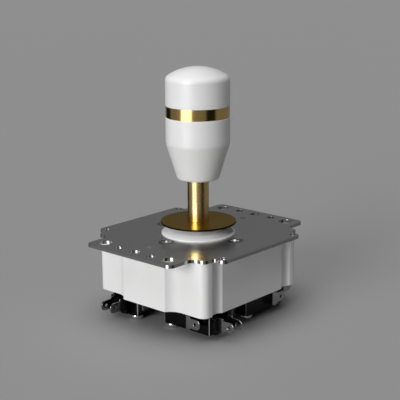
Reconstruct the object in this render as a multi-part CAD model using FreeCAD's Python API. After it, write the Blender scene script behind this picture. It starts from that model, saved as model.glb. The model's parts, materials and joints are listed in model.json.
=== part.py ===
import FreeCAD, Part
import math
import os

# Arcade joystick lever: a tapered grip on a steel shaft that tilts in a gimbal
# under a sheet steel plate, over a moulded housing that carries four switches.
# The origin is on the top face of the plate, on the shaft's axis, with +Z up.

os.makedirs("parts", exist_ok=True)

V = FreeCAD.Vector

# Clearances
running = 0.05
gap = 0.3
spare = 1.0

# Sheet steel plate
plate_t = 1.6
shoulder_half = 34.0
ear_out = 6.0
ear_drop = 6.0
tab_in = 7.2
tab_out = 14.3
ear_round = 2.6
shoulder_round = 3.0
tab_round = 3.2
neck_round = 3.6
notch_round = 1.2
plate_edge = 0.25
half_step = 0.5

# Holes in the plate
mount_in_x = 6.6
mount_in_y = 6.3
mount_hole_r = 3.25
inner_pitch = 20.4
row_in = 5.2
inner_hole_r = 1.9
middle_hole_r = 2.4
ear_in_x = 3.25
ear_in_y = 2.8
ear_hole_r = 1.65
peg_in = 4.5
peg_r = 1.75
peg_sink = 0.5

# Moulded housing
house_in_x = 0.4
tongue_out = 4.0
house_h = 25.4
wall = 2.2
floor_t = 2.4
house_round = 3.6
nut_room = 4.6
lip_round = 1.0
floor_hole_r = 10.5

# Countersunk screws that hold plate, carrier and housing together
plate_screw_pitch = 22.5
plate_screw_r = 2.0
plate_screw_head_r = 3.9
plate_screw_head_h = 2.0
plate_screw_len = 15.0
plate_boss_r = 4.3
cross_w = 1.0
cross_l = 4.2
cross_depth = 1.2

# Gimbal
pivot_depth = 9.0
tilt = 8.0
carrier_t = 3.0
carrier_hole_r = 11.2
carrier_r = 17.0
carrier_arm_w = 9.0
post_in = 10.3
post_out = 14.9
post_half_y = 4.2
post_below = 3.6
ball_r = 7.0
ball_flat = 4.8
ring_out_r = 10.0
ring_half_h = 2.6
ring_pin_r = 1.6
ring_pin_bite = 2.2
cross_pin_r = 1.5

# Lever
shaft_r = 4.0
shaft_neck_r = 3.0
shaft_top = 56.0
thread_r = 3.0
thread_bottom = 30.0
shaft_edge = 0.4
arm_play = 0.5
actuator_half_h = 2.3
clip_t = 0.8
clip_out = 2.2
clip_depth = 0.5
clip_mouth = 0.75
shaft_tail = 1.6
cup_r = 9.3
cup_t = 1.4
cup_boss = 0.9

# Gold washer and shaft cover
washer_r = 17.9
washer_t = 0.85
washer_bottom = 5.0
cover_r = 5.08
stop_t = 0.7
stop_out = 1.5
stop_depth = 0.4
washer_edge = 0.2

# Collar on the plate
collar_r = 17.6
collar_lip = 0.45
collar_knee_r = 15.1
collar_knee_z = 2.0
collar_mouth_r = 9.6
collar_mouth_z = 3.0
collar_spigot_r = 12.4
collar_wall = 1.2
collar_sag_h = 0.25

# Grip
grip_bottom = 26.2
grip_foot_r = 10.4
grip_waist_z = 43.4
grip_r = 15.1
band_bottom = 55.6
band_top = 60.3
band_depth = 0.9
band_inset = 0.1
grip_edge_round = 3.2
grip_top = 79.2
dome_r = 26.0
grip_foot_round = 1.4
waist_round = 4.0
stud_r = 8.0
stud_h = 6.0
insert_r = 6.0
insert_room = 1.0

# Gate, washer and return spring under the gimbal
gate_half = 12.5
gate_round = 2.0
gate_t = 1.6
seat_r = 10.2
seat_t = 0.8
spring_r = 8.6
spring_wire_r = 0.55
spring_turns = 3.25
gate_screw_in = 2.2
gate_screw_r = 1.1
gate_screw_head_r = 1.9
gate_screw_head_h = 1.1
gate_screw_len = 3.6

# Switches, stated for the front one
case_x0 = 2.9
case_len = 27.8
case_out = 27.3
case_in = 11.4
case_t = 10.3
cover_t = 1.7
case_round = 0.55
block_len = 2.9
block_out = 26.2
block_in = 15.9
block_rim = 0.9
screw_a = (5.7, -24.8)
screw_b = (27.9, -14.5)
switch_screw_r = 1.5
switch_screw_head_r = 3.1
switch_screw_head_h = 2.2
switch_screw_grip = 6.0
switch_screw_room = 1.0
switch_screw_round = 1.2
switch_boss_r = 3.0

# Terminals
blade_t = 0.6
blade_w = 4.8
root_w = 6.6
blade_hole_r = 0.75
end_tip = 42.1
end_root = 2.6
end_a = 23.95
end_b = 18.0
com_stand = 3.4
com_x0 = 19.3
com_tip = 28.0
com_root = 3.0
com_bend = 0.4
hole_from_tip = 2.9
blade_round = 2.0

# Switch arms and plungers
hinge_x = 28.8
arm_angle = 7.5
arm_t = 0.5
arm_w = 4.0
arm_knee_x = 3.0
arm_end_x = -3.6
eye_r = 1.05
arm_pin_r = 0.5
ear_t = 0.8
root_in = 0.5
plunger_x = 21.0
plunger_r = 1.2
plunger_len = 5.6
plunger_travel = 0.9
plunger_round = 0.4

# Worked out places
body_half_x = shoulder_half + ear_out
body_half_y = shoulder_half - ear_drop
tab_half_x = shoulder_half - tab_in
tab_half_y = shoulder_half + tab_out
mount_x = tab_half_x - mount_in_x
mount_y = tab_half_y - mount_in_y
inner_x = inner_pitch / 2.0
row_y = tab_half_y - row_in
ear_x = body_half_x - ear_in_x
ear_y = body_half_y - ear_in_y
house_half_x = shoulder_half - house_in_x
house_half_y = shoulder_half
tongue_half_y = house_half_y + tongue_out
peg_y = tongue_half_y - peg_in
bolt_room = mount_y - house_half_y
plate_under = -plate_t
house_bottom = plate_under - house_h
floor_top = house_bottom + floor_t
pivot_z = -pivot_depth
case_bottom = house_bottom - case_t
switch_mid = house_bottom - case_t / 2.0
washer_top = washer_bottom + washer_t
case_x1 = case_x0 + case_len
gate_top = floor_top + gate_t
gate_screw_at = gate_half - gate_screw_in
seat_top = gate_top + seat_t
actuator_top = switch_mid + actuator_half_h
actuator_bottom = switch_mid - actuator_half_h
cup_top = pivot_z - ball_flat
cup_bottom = cup_top - cup_t
hinge_y = -case_in + eye_r + gap
knee_y = hinge_y + (hinge_x - arm_knee_x) * math.tan(math.radians(arm_angle))
actuator_r = -knee_y - arm_t / 2.0 - arm_play
sides = ("front", "right", "back", "left")


def box(x0, x1, y0, y1, z0, z1):
    """Box between two corners."""
    return Part.makeBox(x1 - x0, y1 - y0, z1 - z0, V(x0, y0, z0))


def rod(r, z0, z1, x=0.0, y=0.0):
    """Upright cylinder."""
    return Part.makeCylinder(r, z1 - z0, V(x, y, z0))


def rod_x(r, x0, x1, y, z):
    """Cylinder along X."""
    return Part.makeCylinder(r, x1 - x0, V(x0, y, z), V(1, 0, 0))


def rod_y(r, y0, y1, x, z):
    """Cylinder along Y."""
    return Part.makeCylinder(r, y1 - y0, V(x, y0, z), V(0, 1, 0))


def turned(points):
    """Solid turned about Z from points of radius and height.

    A point with four values ends an arc that passes through its last two.
    """
    edges = []
    last = V(points[0][0], 0, points[0][1])
    for point in points[1:] + points[:1]:
        here = V(point[0], 0, point[1])
        if len(point) == 4:
            middle = V(point[2], 0, point[3])
            edges.append(Part.Arc(last, middle, here).toShape())
        else:
            edges.append(Part.makeLine(last, here))
        last = here
    face = Part.Face(Part.Wire(edges))
    return face.revolve(V(0, 0, 0), V(0, 0, 1), 360)


def upright_edges(shape, x, y, near=0.05):
    """Edges along Z that stand at plus or minus x and y."""
    found = []
    for edge in shape.Edges:
        a, b = edge.Vertexes[0].Point, edge.Vertexes[-1].Point
        straight = abs(a.x - b.x) < near and abs(a.y - b.y) < near and abs(a.z - b.z) > near
        if straight and abs(abs(a.x) - x) < near and abs(abs(a.y) - y) < near:
            found.append(edge)
    return found


def level_edges(shape, z, near=0.001):
    """Edges that lie wholly at one height."""
    return [e for e in shape.Edges if abs(e.BoundBox.ZMin - z) < near and abs(e.BoundBox.ZMax - z) < near]


def spun(shape, quarter):
    """Copy of a shape turned about the shaft's axis by quarter turns."""
    copy = shape.copy()
    copy.rotate(V(0, 0, 0), V(0, 0, 1), 90.0 * quarter)
    return copy


def four(shape):
    """A shape and its three quarter-turn copies."""
    return [spun(shape, q) for q in range(4)]


def mirrored(points):
    """Each point in all four quadrants."""
    return [(sx * x, sy * y) for x, y in points for sx in (1, -1) for sy in (1, -1)]


def save(name, shape):
    """Write one node."""
    shape.exportStep("parts/" + name + ".step")
    print(name, len(shape.Solids), round(shape.Volume, 2), shape.isValid())


def plate_screw_points():
    """Places of the four countersunk screws."""
    p = plate_screw_pitch
    return [(p, 0.0), (0.0, p), (-p, 0.0), (0.0, -p)]


def screw_sink(x, y):
    """Cone and shank of one countersunk screw, its head flush with the plate."""
    cone = Part.makeCone(plate_screw_r, plate_screw_head_r, plate_screw_head_h, V(x, y, -plate_screw_head_h))
    return cone.fuse(rod(plate_screw_r, -plate_screw_len, -plate_screw_head_h, x, y))


def mounting_plate():
    """Punched sheet with ears at its sides and a tab at each end."""
    outline = box(-body_half_x, body_half_x, -body_half_y, body_half_y, plate_under, 0)
    outline = outline.fuse(box(-tab_half_x, tab_half_x, -tab_half_y, tab_half_y, plate_under, 0))
    s = shoulder_half
    outline = outline.fuse(box(-s, s, -s, s, plate_under, 0)).removeSplitter()
    corners = (
        (body_half_x, body_half_y, min(ear_round, ear_out * half_step)),
        (shoulder_half, shoulder_half, min(shoulder_round, ear_drop * half_step, tab_in * half_step)),
        (tab_half_x, tab_half_y, tab_round),
        (tab_half_x, shoulder_half, min(neck_round, tab_in * half_step, tab_out * half_step)),
        (shoulder_half, body_half_y, min(notch_round, ear_out * half_step, ear_drop * half_step)),
    )
    for x, y, r in corners:
        outline = outline.makeFillet(r, upright_edges(outline, x, y))
    outline = outline.makeChamfer(plate_edge, level_edges(outline, 0.0))
    holes = [rod(collar_spigot_r + running, plate_under, 0)]
    holes += [rod(mount_hole_r, plate_under, 0, x, y) for x, y in mirrored([(mount_x, mount_y)])]
    holes += [rod(inner_hole_r, plate_under, 0, x, y) for x, y in mirrored([(inner_x, row_y)])]
    holes += [rod(middle_hole_r, plate_under, 0, 0, y) for y in (-row_y, row_y)]
    holes += [rod(ear_hole_r, plate_under, 0, x, y) for x, y in mirrored([(ear_x, ear_y)])]
    holes += [rod(peg_r + running, plate_under, 0, 0, y) for y in (-peg_y, peg_y)]
    for x, y in plate_screw_points():
        holes.append(screw_sink(x, y))
    return outline.cut(Part.Compound(holes))


def plate_screws():
    """Four countersunk cross-recess screws."""
    made = []
    for x, y in plate_screw_points():
        screw = screw_sink(x, y)
        half_l, half_w = cross_l / 2.0, cross_w / 2.0
        slot = box(x - half_l, x + half_l, y - half_w, y + half_w, -cross_depth, spare)
        slot = slot.fuse(box(x - half_w, x + half_w, y - half_l, y + half_l, -cross_depth, spare))
        slot.rotate(V(x, y, 0), V(0, 0, 1), 45.0)
        made.append(screw.cut(slot))
    return Part.Compound(made)


def dust_collar():
    """Moulded collar that sits on the plate round the shaft, with a spigot in the plate's hole."""
    inner_knee_z = collar_knee_z - collar_wall
    mouth_under = collar_mouth_z - collar_wall
    flank_mid_r = (collar_r + collar_knee_r) / 2.0 - collar_sag_h
    flank_mid_z = (collar_lip + collar_knee_z) / 2.0 - collar_sag_h
    points = [
        (collar_mouth_r, mouth_under),
        (collar_spigot_r - collar_wall, inner_knee_z),
        (collar_spigot_r - collar_wall, plate_under),
        (collar_spigot_r, plate_under),
        (collar_spigot_r, 0.0),
        (collar_r, 0.0),
        (collar_r, collar_lip),
        (collar_knee_r, collar_knee_z, flank_mid_r, flank_mid_z),
        (collar_mouth_r, collar_mouth_z),
    ]
    return turned(points)


def pivot_carrier():
    """Flange under the plate with two posts that hold the gimbal ring's pins."""
    top = plate_under
    under = plate_under - carrier_t
    body = rod(carrier_r, under, top)
    reach = plate_screw_pitch
    half = carrier_arm_w / 2.0
    body = body.fuse(box(-reach, reach, -half, half, under, top))
    body = body.fuse(box(-half, half, -reach, reach, under, top))
    for x, y in plate_screw_points():
        body = body.fuse(rod(half, under, top, x, y))
    body = body.cut(rod(carrier_hole_r, under, top))
    post_bottom = pivot_z - post_below
    for x0, x1 in ((post_in, post_out), (-post_out, -post_in)):
        post = box(x0, x1, -post_half_y, post_half_y, post_bottom, under)
        body = body.fuse(post)
    body = body.removeSplitter()
    body = body.cut(rod_x(ring_pin_r + running, -post_out, post_out, 0, pivot_z))
    for x, y in plate_screw_points():
        body = body.cut(screw_sink(x, y))
    return body


def outline_block(grow, z0, z1):
    """Housing outline, grown or shrunk, with room for the bolts and nuts of the plate's holes.

    The tongues' hollow sides run tangent into the end walls, and every lip is rounded.
    """
    hx, hy, ty = house_half_x + grow, house_half_y + grow, tongue_half_y + grow
    hollow, nook = bolt_room - grow, nut_room - grow
    tongue = box(-mount_x, mount_x, -ty, ty, z0, z1)
    for x, y in mirrored([(mount_x, mount_y)]):
        tongue = tongue.cut(rod(hollow, z0, z1, x, y))
    lip_x = mount_x - math.sqrt(hollow ** 2 - (mount_y - ty) ** 2)
    tongue = tongue.makeFillet(lip_round, upright_edges(tongue, lip_x, ty))
    block = box(-hx, hx, -hy, hy, z0, z1)
    block = block.makeFillet(house_round + grow, upright_edges(block, hx, hy))
    for x, y in mirrored([(ear_x, ear_y)]):
        block = block.cut(rod(nook, z0, z1, x, y))
    lip_reach = math.sqrt(nook ** 2 - (ear_x - hx) ** 2)
    for y in (ear_y - lip_reach, ear_y + lip_reach):
        block = block.makeFillet(lip_round, upright_edges(block, hx, y))
    return block.fuse(tongue).removeSplitter()


def switch_screw_points():
    """Places of the two screws of each switch."""
    points = []
    for q in range(4):
        for x, y in (screw_a, screw_b):
            turn = V(x, y, 0)
            turn = FreeCAD.Rotation(V(0, 0, 1), 90.0 * q).multVec(turn)
            points.append((turn.x, turn.y))
    return points


def housing():
    """Deep moulded box, open at the top, with screw bosses on its floor."""
    body = outline_block(0.0, house_bottom, plate_under)
    body = body.cut(outline_block(-wall, floor_top, plate_under))
    boss_top = plate_under - carrier_t
    for x, y in plate_screw_points():
        body = body.fuse(rod(plate_boss_r, house_bottom, boss_top, x, y))
    screw_top = floor_top + switch_screw_grip
    for x, y in switch_screw_points():
        body = body.fuse(rod(switch_boss_r, house_bottom, screw_top, x, y))
    for y in (-peg_y, peg_y):
        body = body.fuse(rod(peg_r + wall, house_bottom, plate_under, 0, y))
        body = body.fuse(rod(peg_r, plate_under - wall, -peg_sink, 0, y))
    body = body.removeSplitter()
    holes = [rod(floor_hole_r, house_bottom, floor_top)]
    holes += [rod(plate_screw_r, -plate_screw_len, boss_top, x, y) for x, y in plate_screw_points()]
    tip = screw_top - switch_screw_room
    holes += [rod(switch_screw_r, house_bottom, tip, x, y) for x, y in switch_screw_points()]
    at = gate_screw_at
    tail = gate_top - gate_screw_len
    holes += [rod(gate_screw_r, tail, floor_top, x, y) for x, y in mirrored([(at, at)])]
    return body.cut(Part.Compound(holes))


def restrictor_gate():
    """Square gate on the housing's floor that stops the shaft at full tilt."""
    lean = math.tan(math.radians(tilt))
    opening = shaft_r / math.cos(math.radians(tilt)) + (pivot_z - floor_top) * lean + gap
    gate = box(-gate_half, gate_half, -gate_half, gate_half, floor_top, gate_top)
    gate = gate.makeFillet(gate_round, upright_edges(gate, gate_half, gate_half))
    gate = gate.cut(box(-opening, opening, -opening, opening, floor_top, gate_top))
    at = gate_screw_at
    for x, y in mirrored([(at, at)]):
        gate = gate.cut(rod(gate_screw_r + running, floor_top, gate_top, x, y))
    return gate


def gate_screws():
    """Four small screws that hold the gate."""
    at = gate_screw_at
    made = []
    for x, y in mirrored([(at, at)]):
        shank = rod(gate_screw_r, gate_top - gate_screw_len, gate_top, x, y)
        made.append(shank.fuse(rod(gate_screw_head_r, gate_top, gate_top + gate_screw_head_h, x, y)))
    return Part.Compound(made)


def spring_seat():
    """Flat washer under the spring."""
    inner = spring_r - 2.0 * spring_wire_r
    return rod(seat_r, gate_top, seat_top).cut(rod(inner, gate_top, seat_top))


def return_spring():
    """Compression spring between the seat and the cup."""
    low = seat_top + spring_wire_r
    high = cup_bottom - spring_wire_r
    pitch = (high - low) / spring_turns
    path = Part.makeHelix(pitch, high - low, spring_r)
    path.translate(V(0, 0, low))
    start = V(spring_r, 0, low)
    circle = Part.Wire([Part.makeCircle(spring_wire_r, start, V(0, 1, 0))])
    return Part.Wire(path).makePipeShell([circle], True, True)


def gimbal_ring():
    """Ring round the ball, turning about X in the posts."""
    low, high = pivot_z - ring_half_h, pivot_z + ring_half_h
    ring = rod(ring_out_r, low, high).cut(rod(ball_r + gap, low, high))
    ring = ring.cut(rod_y(cross_pin_r + running, -ring_out_r, ring_out_r, 0, pivot_z))
    bite = ring_out_r - ring_pin_bite
    for x0, x1 in ((bite, ring_out_r), (-ring_out_r, -bite)):
        ring = ring.cut(rod_x(ring_pin_r, x0, x1, 0, pivot_z))
    return ring


def ring_pins():
    """Two pins pressed into the ring, running in the posts."""
    inner, outer = ring_out_r - ring_pin_bite, post_out - gap
    right = rod_x(ring_pin_r, inner, outer, 0, pivot_z)
    left = rod_x(ring_pin_r, -outer, -inner, 0, pivot_z)
    return Part.Compound([right, left])


def pivot_ball():
    """Ball on the shaft, flat below where the cup bears on it."""
    ball = Part.makeSphere(ball_r, V(0, 0, pivot_z))
    ball = ball.common(rod(ball_r, pivot_z - ball_flat, pivot_z + ball_flat))
    ball = ball.cut(rod(shaft_r, pivot_z - ball_flat, pivot_z + ball_flat))
    return ball.cut(rod_y(cross_pin_r, -ball_r, ball_r, 0, pivot_z))


def cross_pin():
    """Pin through ball and shaft, running in the ring."""
    return rod_y(cross_pin_r, -ring_out_r + gap, ring_out_r - gap, 0, pivot_z)


def shaft():
    """Turned steel shaft, threaded at the top and necked at the bottom for the actuator."""
    tail = actuator_bottom - clip_t - shaft_tail
    points = [
        (0.0, tail),
        (shaft_neck_r - shaft_edge, tail),
        (shaft_neck_r, tail + shaft_edge),
        (shaft_neck_r, actuator_bottom - clip_t),
        (shaft_neck_r - clip_depth, actuator_bottom - clip_t),
        (shaft_neck_r - clip_depth, actuator_bottom),
        (shaft_neck_r, actuator_bottom),
        (shaft_neck_r, actuator_top),
        (shaft_r, actuator_top),
        (shaft_r, washer_bottom - stop_t),
        (shaft_r - stop_depth, washer_bottom - stop_t),
        (shaft_r - stop_depth, washer_bottom),
        (shaft_r, washer_bottom),
        (shaft_r, thread_bottom - shaft_edge),
        (thread_r, thread_bottom),
        (thread_r, shaft_top - shaft_edge),
        (thread_r - shaft_edge, shaft_top),
        (0.0, shaft_top),
    ]
    body = turned(points)
    return body.cut(rod_y(cross_pin_r, -shaft_r, shaft_r, 0, pivot_z))


def spring_cup():
    """Flanged cup under the ball that presses on the spring."""
    boss_r = spring_r - spring_wire_r - gap
    points = [
        (shaft_r, cup_bottom - cup_boss),
        (boss_r, cup_bottom - cup_boss),
        (boss_r, cup_bottom),
        (cup_r, cup_bottom),
        (cup_r, cup_top),
        (shaft_r, cup_top),
    ]
    return turned(points)


def actuator():
    """Barrel on the shaft's end that pushes the switch arms."""
    edge = math.sqrt(actuator_r ** 2 - actuator_half_h ** 2)
    points = [
        (shaft_neck_r, actuator_bottom),
        (edge, actuator_bottom),
        (edge, actuator_top, actuator_r, switch_mid),
        (shaft_neck_r, actuator_top),
    ]
    return turned(points)


def snap_ring(inner_r, outer_r, z0, z1):
    """Open ring that snaps into a groove."""
    ring = rod(outer_r, z0, z1).cut(rod(inner_r, z0, z1))
    mouth = inner_r * clip_mouth
    return ring.cut(box(0, outer_r, -mouth, mouth, z0, z1))


def dust_washer():
    """Thin washer on the shaft above the collar."""
    body = rod(washer_r, washer_bottom, washer_top)
    rim = level_edges(body, washer_top)
    body = body.makeFillet(washer_edge, rim)
    return body.cut(rod(shaft_r + running, washer_bottom, washer_top))


def shaft_cover():
    """Tube over the shaft between washer and grip."""
    top = grip_bottom - gap
    return rod(cover_r, washer_top, top).cut(rod(shaft_r + running, washer_top, top))


def grip_body():
    """Lower grip: a taper, a straight waist and a spigot for band and cap."""
    spigot_r = grip_r - band_depth
    points = [
        (shaft_r, grip_bottom),
        (grip_foot_r, grip_bottom),
        (grip_r, grip_waist_z),
        (grip_r, band_bottom),
        (spigot_r, band_bottom),
        (spigot_r, band_top),
        (stud_r, band_top),
        (stud_r, band_top + stud_h),
        (0.0, band_top + stud_h),
        (0.0, shaft_top + insert_room),
        (insert_r, shaft_top + insert_room),
        (insert_r, thread_bottom),
        (shaft_r, thread_bottom),
    ]
    body = turned(points)
    foot = [e for e in level_edges(body, grip_bottom) if e.BoundBox.XMax > grip_foot_r - running]
    body = body.makeFillet(grip_foot_round, foot)
    waist = [e for e in level_edges(body, grip_waist_z) if e.BoundBox.XMax > grip_r - running]
    return body.makeFillet(waist_round, waist)


def grip_insert():
    """Threaded insert moulded into the lower grip."""
    return rod(insert_r, thread_bottom, shaft_top).cut(rod(thread_r, thread_bottom, shaft_top))


def grip_band():
    """Metal band between the two halves of the grip."""
    inner = grip_r - band_depth
    return rod(grip_r - band_inset, band_bottom, band_top).cut(rod(inner, band_bottom, band_top))


def grip_cap():
    """Domed upper grip with a socket for the lower grip's stud."""
    dome_centre = grip_top - dome_r
    cylinder = rod(grip_r, band_top, grip_top)
    dome = Part.makeSphere(dome_r, V(0, 0, dome_centre))
    cap = cylinder.common(dome)
    rim = [e for e in cap.Edges if e.BoundBox.ZLength < running and e.BoundBox.ZMin > band_top + spare]
    cap = cap.makeFillet(grip_edge_round, rim)
    return cap.cut(rod(stud_r, band_top, band_top + stud_h))


def switch_case():
    """Lower part of the front switch, with its terminal block and the hooded ears of the arm."""
    top = house_bottom - cover_t
    case = box(case_x0, case_x1, -case_out, -case_in, case_bottom, top)
    uprights = [e for e in case.Edges if e.BoundBox.ZLength > case_t / 2.0]
    case = case.makeFillet(case_round, uprights)
    block = box(case_x1 - root_in, case_x1 + block_len, -block_out, -block_in, case_bottom + block_rim, top)
    case = case.fuse(block)
    slot = arm_w / 2.0 + gap
    reach = slot + ear_t
    ear_y0, ear_y1 = -case_in - root_in, hinge_y + eye_r
    ears = box(hinge_x - eye_r, case_x1, ear_y0, ear_y1, switch_mid - reach, switch_mid + reach)
    room = box(hinge_x - eye_r, hinge_x + eye_r + gap, -case_in, ear_y1, switch_mid - slot, switch_mid + slot)
    case = case.fuse(ears.cut(room)).removeSplitter()
    holes = [rod(switch_screw_r + running, case_bottom, top, x, y) for x, y in (screw_a, screw_b)]
    holes.append(rod(arm_pin_r, switch_mid - reach, switch_mid + reach, hinge_x, hinge_y))
    bore_end = plunger_tip() - plunger_len - plunger_travel - gap
    holes.append(rod_y(plunger_r + running, bore_end, -case_in + spare, plunger_x, switch_mid))
    return case.cut(Part.Compound(holes))


def switch_cover():
    """Upper part of the front switch."""
    low = house_bottom - cover_t
    cover = box(case_x0, case_x1, -case_out, -case_in, low, house_bottom)
    uprights = [e for e in cover.Edges if abs(e.BoundBox.ZLength - cover_t) < running]
    cover = cover.makeFillet(case_round, uprights)
    for x, y in (screw_a, screw_b):
        cover = cover.cut(rod(switch_screw_r + running, low, house_bottom, x, y))
    return cover


def blade(x0, x1, y, shoulder):
    """Flat terminal along X at one depth, with a wide root, a round end and a hole."""
    y0, y1 = y - blade_t / 2.0, y + blade_t / 2.0
    half = blade_w / 2.0
    tongue = box(x0, x1, y0, y1, switch_mid - half, switch_mid + half)
    tips = [e for e in tongue.Edges if e.BoundBox.XMin > x1 - running and e.BoundBox.YLength > blade_t / 2.0
            and e.BoundBox.ZLength < running]
    tongue = tongue.makeFillet(blade_round, tips)
    root_half = root_w / 2.0
    root = box(x0, x0 + shoulder, y0, y1, switch_mid - root_half, switch_mid + root_half)
    hole = rod_y(blade_hole_r, y0, y1, x1 - hole_from_tip, switch_mid)
    return tongue.fuse(root).removeSplitter().cut(hole)


def end_terminals():
    """Two blades that leave the switch's end."""
    start = case_x1 + block_len
    return [blade(start, end_tip, -y, end_root) for y in (end_a, end_b)]


def common_terminal():
    """Blade that leaves the switch's outer face and turns along it with a rounded bend."""
    y = -case_out - com_stand
    flat = blade(com_x0, com_tip, y, com_root)
    root_half = root_w / 2.0
    foot = box(com_x0, com_x0 + blade_t, y - blade_t / 2.0, -case_out, switch_mid - root_half,
               switch_mid + root_half)
    bent = flat.fuse(foot).removeSplitter()
    for x, face_y, r in ((com_x0, y - blade_t / 2.0, com_bend + blade_t),
                         (com_x0 + blade_t, y + blade_t / 2.0, com_bend)):
        bend = [e for e in upright_edges(bent, x, -face_y) if e.BoundBox.ZLength > blade_w]
        bent = bent.makeFillet(r, bend)
    return bent


def plunger_tip():
    """Rest position of the front plunger's end, just behind the arm."""
    lean = math.radians(arm_angle)
    rise = (hinge_x - plunger_x - plunger_r) * math.tan(lean)
    return hinge_y + rise - arm_t / 2.0 / math.cos(lean) - gap


def switch_plunger():
    """Plunger that the arm presses into the front switch."""
    tip = plunger_tip()
    pin = rod_y(plunger_r, tip - plunger_len, tip, plunger_x, switch_mid)
    rim = [e for e in pin.Edges if e.BoundBox.YMin > tip - running]
    return pin.makeFillet(plunger_round, rim)


def switch_arm():
    """Spring steel arm of the front switch, hinged at the far end of the case."""
    low, high = switch_mid - arm_w / 2.0, switch_mid + arm_w / 2.0
    run = (hinge_x - arm_knee_x) / math.cos(math.radians(arm_angle))
    straight = box(-run, 0, -arm_t / 2.0, arm_t / 2.0, low, high)
    straight.rotate(V(0, 0, 0), V(0, 0, 1), -arm_angle)
    straight.translate(V(hinge_x, hinge_y, 0))
    flat = box(arm_end_x, arm_knee_x + running, knee_y - arm_t / 2.0, knee_y + arm_t / 2.0, low, high)
    eye = rod(eye_r, low, high, hinge_x, hinge_y)
    arm = eye.fuse(straight).fuse(flat).removeSplitter()
    return arm.cut(rod(arm_pin_r + running, low, high, hinge_x, hinge_y))


def arm_pin():
    """Pin of the front arm, held in the ears."""
    reach = arm_w / 2.0 + gap + ear_t
    return rod(arm_pin_r, switch_mid - reach, switch_mid + reach, hinge_x, hinge_y)


def switch_screws():
    """Eight pan-head screws that hold the switches, on whose heads the part stands."""
    made = []
    for x, y in switch_screw_points():
        top = floor_top + switch_screw_grip - switch_screw_room
        head_low = case_bottom - switch_screw_head_h
        head = rod(switch_screw_head_r, head_low, case_bottom, x, y)
        head = head.makeFillet(switch_screw_round, level_edges(head, head_low))
        made.append(head.fuse(rod(switch_screw_r, case_bottom, top, x, y)))
    return Part.Compound(made)


save("mounting_plate", mounting_plate())
save("plate_screws", plate_screws())
save("dust_collar", dust_collar())
save("pivot_carrier", pivot_carrier())
save("housing", housing())
save("restrictor_gate", restrictor_gate())
save("gate_screws", gate_screws())
save("spring_seat", spring_seat())
save("return_spring", return_spring())
save("gimbal_ring", gimbal_ring())
save("ring_pins", ring_pins())
save("pivot_ball", pivot_ball())
save("cross_pin", cross_pin())
save("shaft", shaft())
save("spring_cup", spring_cup())
save("actuator", actuator())
save("actuator_clip", snap_ring(shaft_neck_r - clip_depth, shaft_neck_r + clip_out,
                                actuator_bottom - clip_t, actuator_bottom))
save("washer_clip", snap_ring(shaft_r - stop_depth, shaft_r + stop_out,
                              washer_bottom - stop_t, washer_bottom))
save("dust_washer", dust_washer())
save("shaft_cover", shaft_cover())
save("grip_body", grip_body())
save("grip_insert", grip_insert())
save("grip_band", grip_band())
save("grip_cap", grip_cap())
save("switch_screws", switch_screws())
save("arm_pins", Part.Compound(four(arm_pin())))

pieces = {
    "switch_case": switch_case(),
    "switch_cover": switch_cover(),
    "common_terminal": common_terminal(),
    "switch_plunger": switch_plunger(),
    "switch_arm": switch_arm(),
}
outer, inner = end_terminals()
pieces["open_terminal"] = outer
pieces["closed_terminal"] = inner
for quarter, side in enumerate(sides):
    for name, piece in pieces.items():
        save(name + "_" + side, spun(piece, quarter))
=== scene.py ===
import json
import math

import bpy
import numpy as np
from mathutils import Matrix, Vector
from mathutils.geometry import delaunay_2d_cdt


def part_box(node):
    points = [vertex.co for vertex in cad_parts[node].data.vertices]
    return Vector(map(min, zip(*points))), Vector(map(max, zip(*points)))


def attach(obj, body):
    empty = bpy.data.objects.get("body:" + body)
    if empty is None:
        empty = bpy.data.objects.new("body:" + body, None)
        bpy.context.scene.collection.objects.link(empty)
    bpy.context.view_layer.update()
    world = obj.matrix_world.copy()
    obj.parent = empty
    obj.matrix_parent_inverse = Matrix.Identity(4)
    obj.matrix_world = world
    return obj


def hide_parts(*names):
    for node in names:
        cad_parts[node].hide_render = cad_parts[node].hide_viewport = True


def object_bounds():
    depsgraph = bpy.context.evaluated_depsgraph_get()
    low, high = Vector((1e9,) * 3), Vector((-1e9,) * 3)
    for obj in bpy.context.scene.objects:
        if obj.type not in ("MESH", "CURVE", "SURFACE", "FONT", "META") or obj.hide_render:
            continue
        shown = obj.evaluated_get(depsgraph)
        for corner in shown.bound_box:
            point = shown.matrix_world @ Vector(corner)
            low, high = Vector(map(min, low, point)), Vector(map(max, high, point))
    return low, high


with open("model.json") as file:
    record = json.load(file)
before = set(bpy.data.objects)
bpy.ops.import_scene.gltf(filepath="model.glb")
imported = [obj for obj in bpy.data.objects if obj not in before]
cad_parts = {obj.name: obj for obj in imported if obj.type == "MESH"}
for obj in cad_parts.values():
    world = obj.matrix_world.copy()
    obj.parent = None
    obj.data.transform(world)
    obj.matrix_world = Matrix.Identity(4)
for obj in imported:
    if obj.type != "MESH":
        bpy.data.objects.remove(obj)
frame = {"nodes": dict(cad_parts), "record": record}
cad_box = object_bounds()

# Lengths are in metres, worked out in millimetres with MM.
MM = 0.001

# Camera: a 36 mm sensor, the direction in degrees round the object and above the horizon
LENS = 93.0
CAMERA_AZIMUTH = 41.755
CAMERA_ELEVATION = 14.17
CAMERA_ROLL = -0.302
CAMERA_DISTANCE = 495.083 * MM
CAMERA_ACROSS = 0.76 * MM
CAMERA_UP = 15.195 * MM

# Light: each lamp's strength, its spread in degrees and where it stands
LAMPS = {
    "key": (2.4, 34.0, (0.07, -0.976, 0.208)),
    "overhead": (1.32, 56.0, (0.0, 0.0, 1.0)),
    "front": (0.85, 50.0, (0.08, -0.334, 0.94)),
}

# The room's diffuse light, the room and the panel as glossy surfaces see them, and the floor's own tone
ROOM_LIGHT = 0.015
ROOM_SEEN = 0.165
PANEL_SEEN = 2.2
FLOOR_TONE = 0.305

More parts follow.
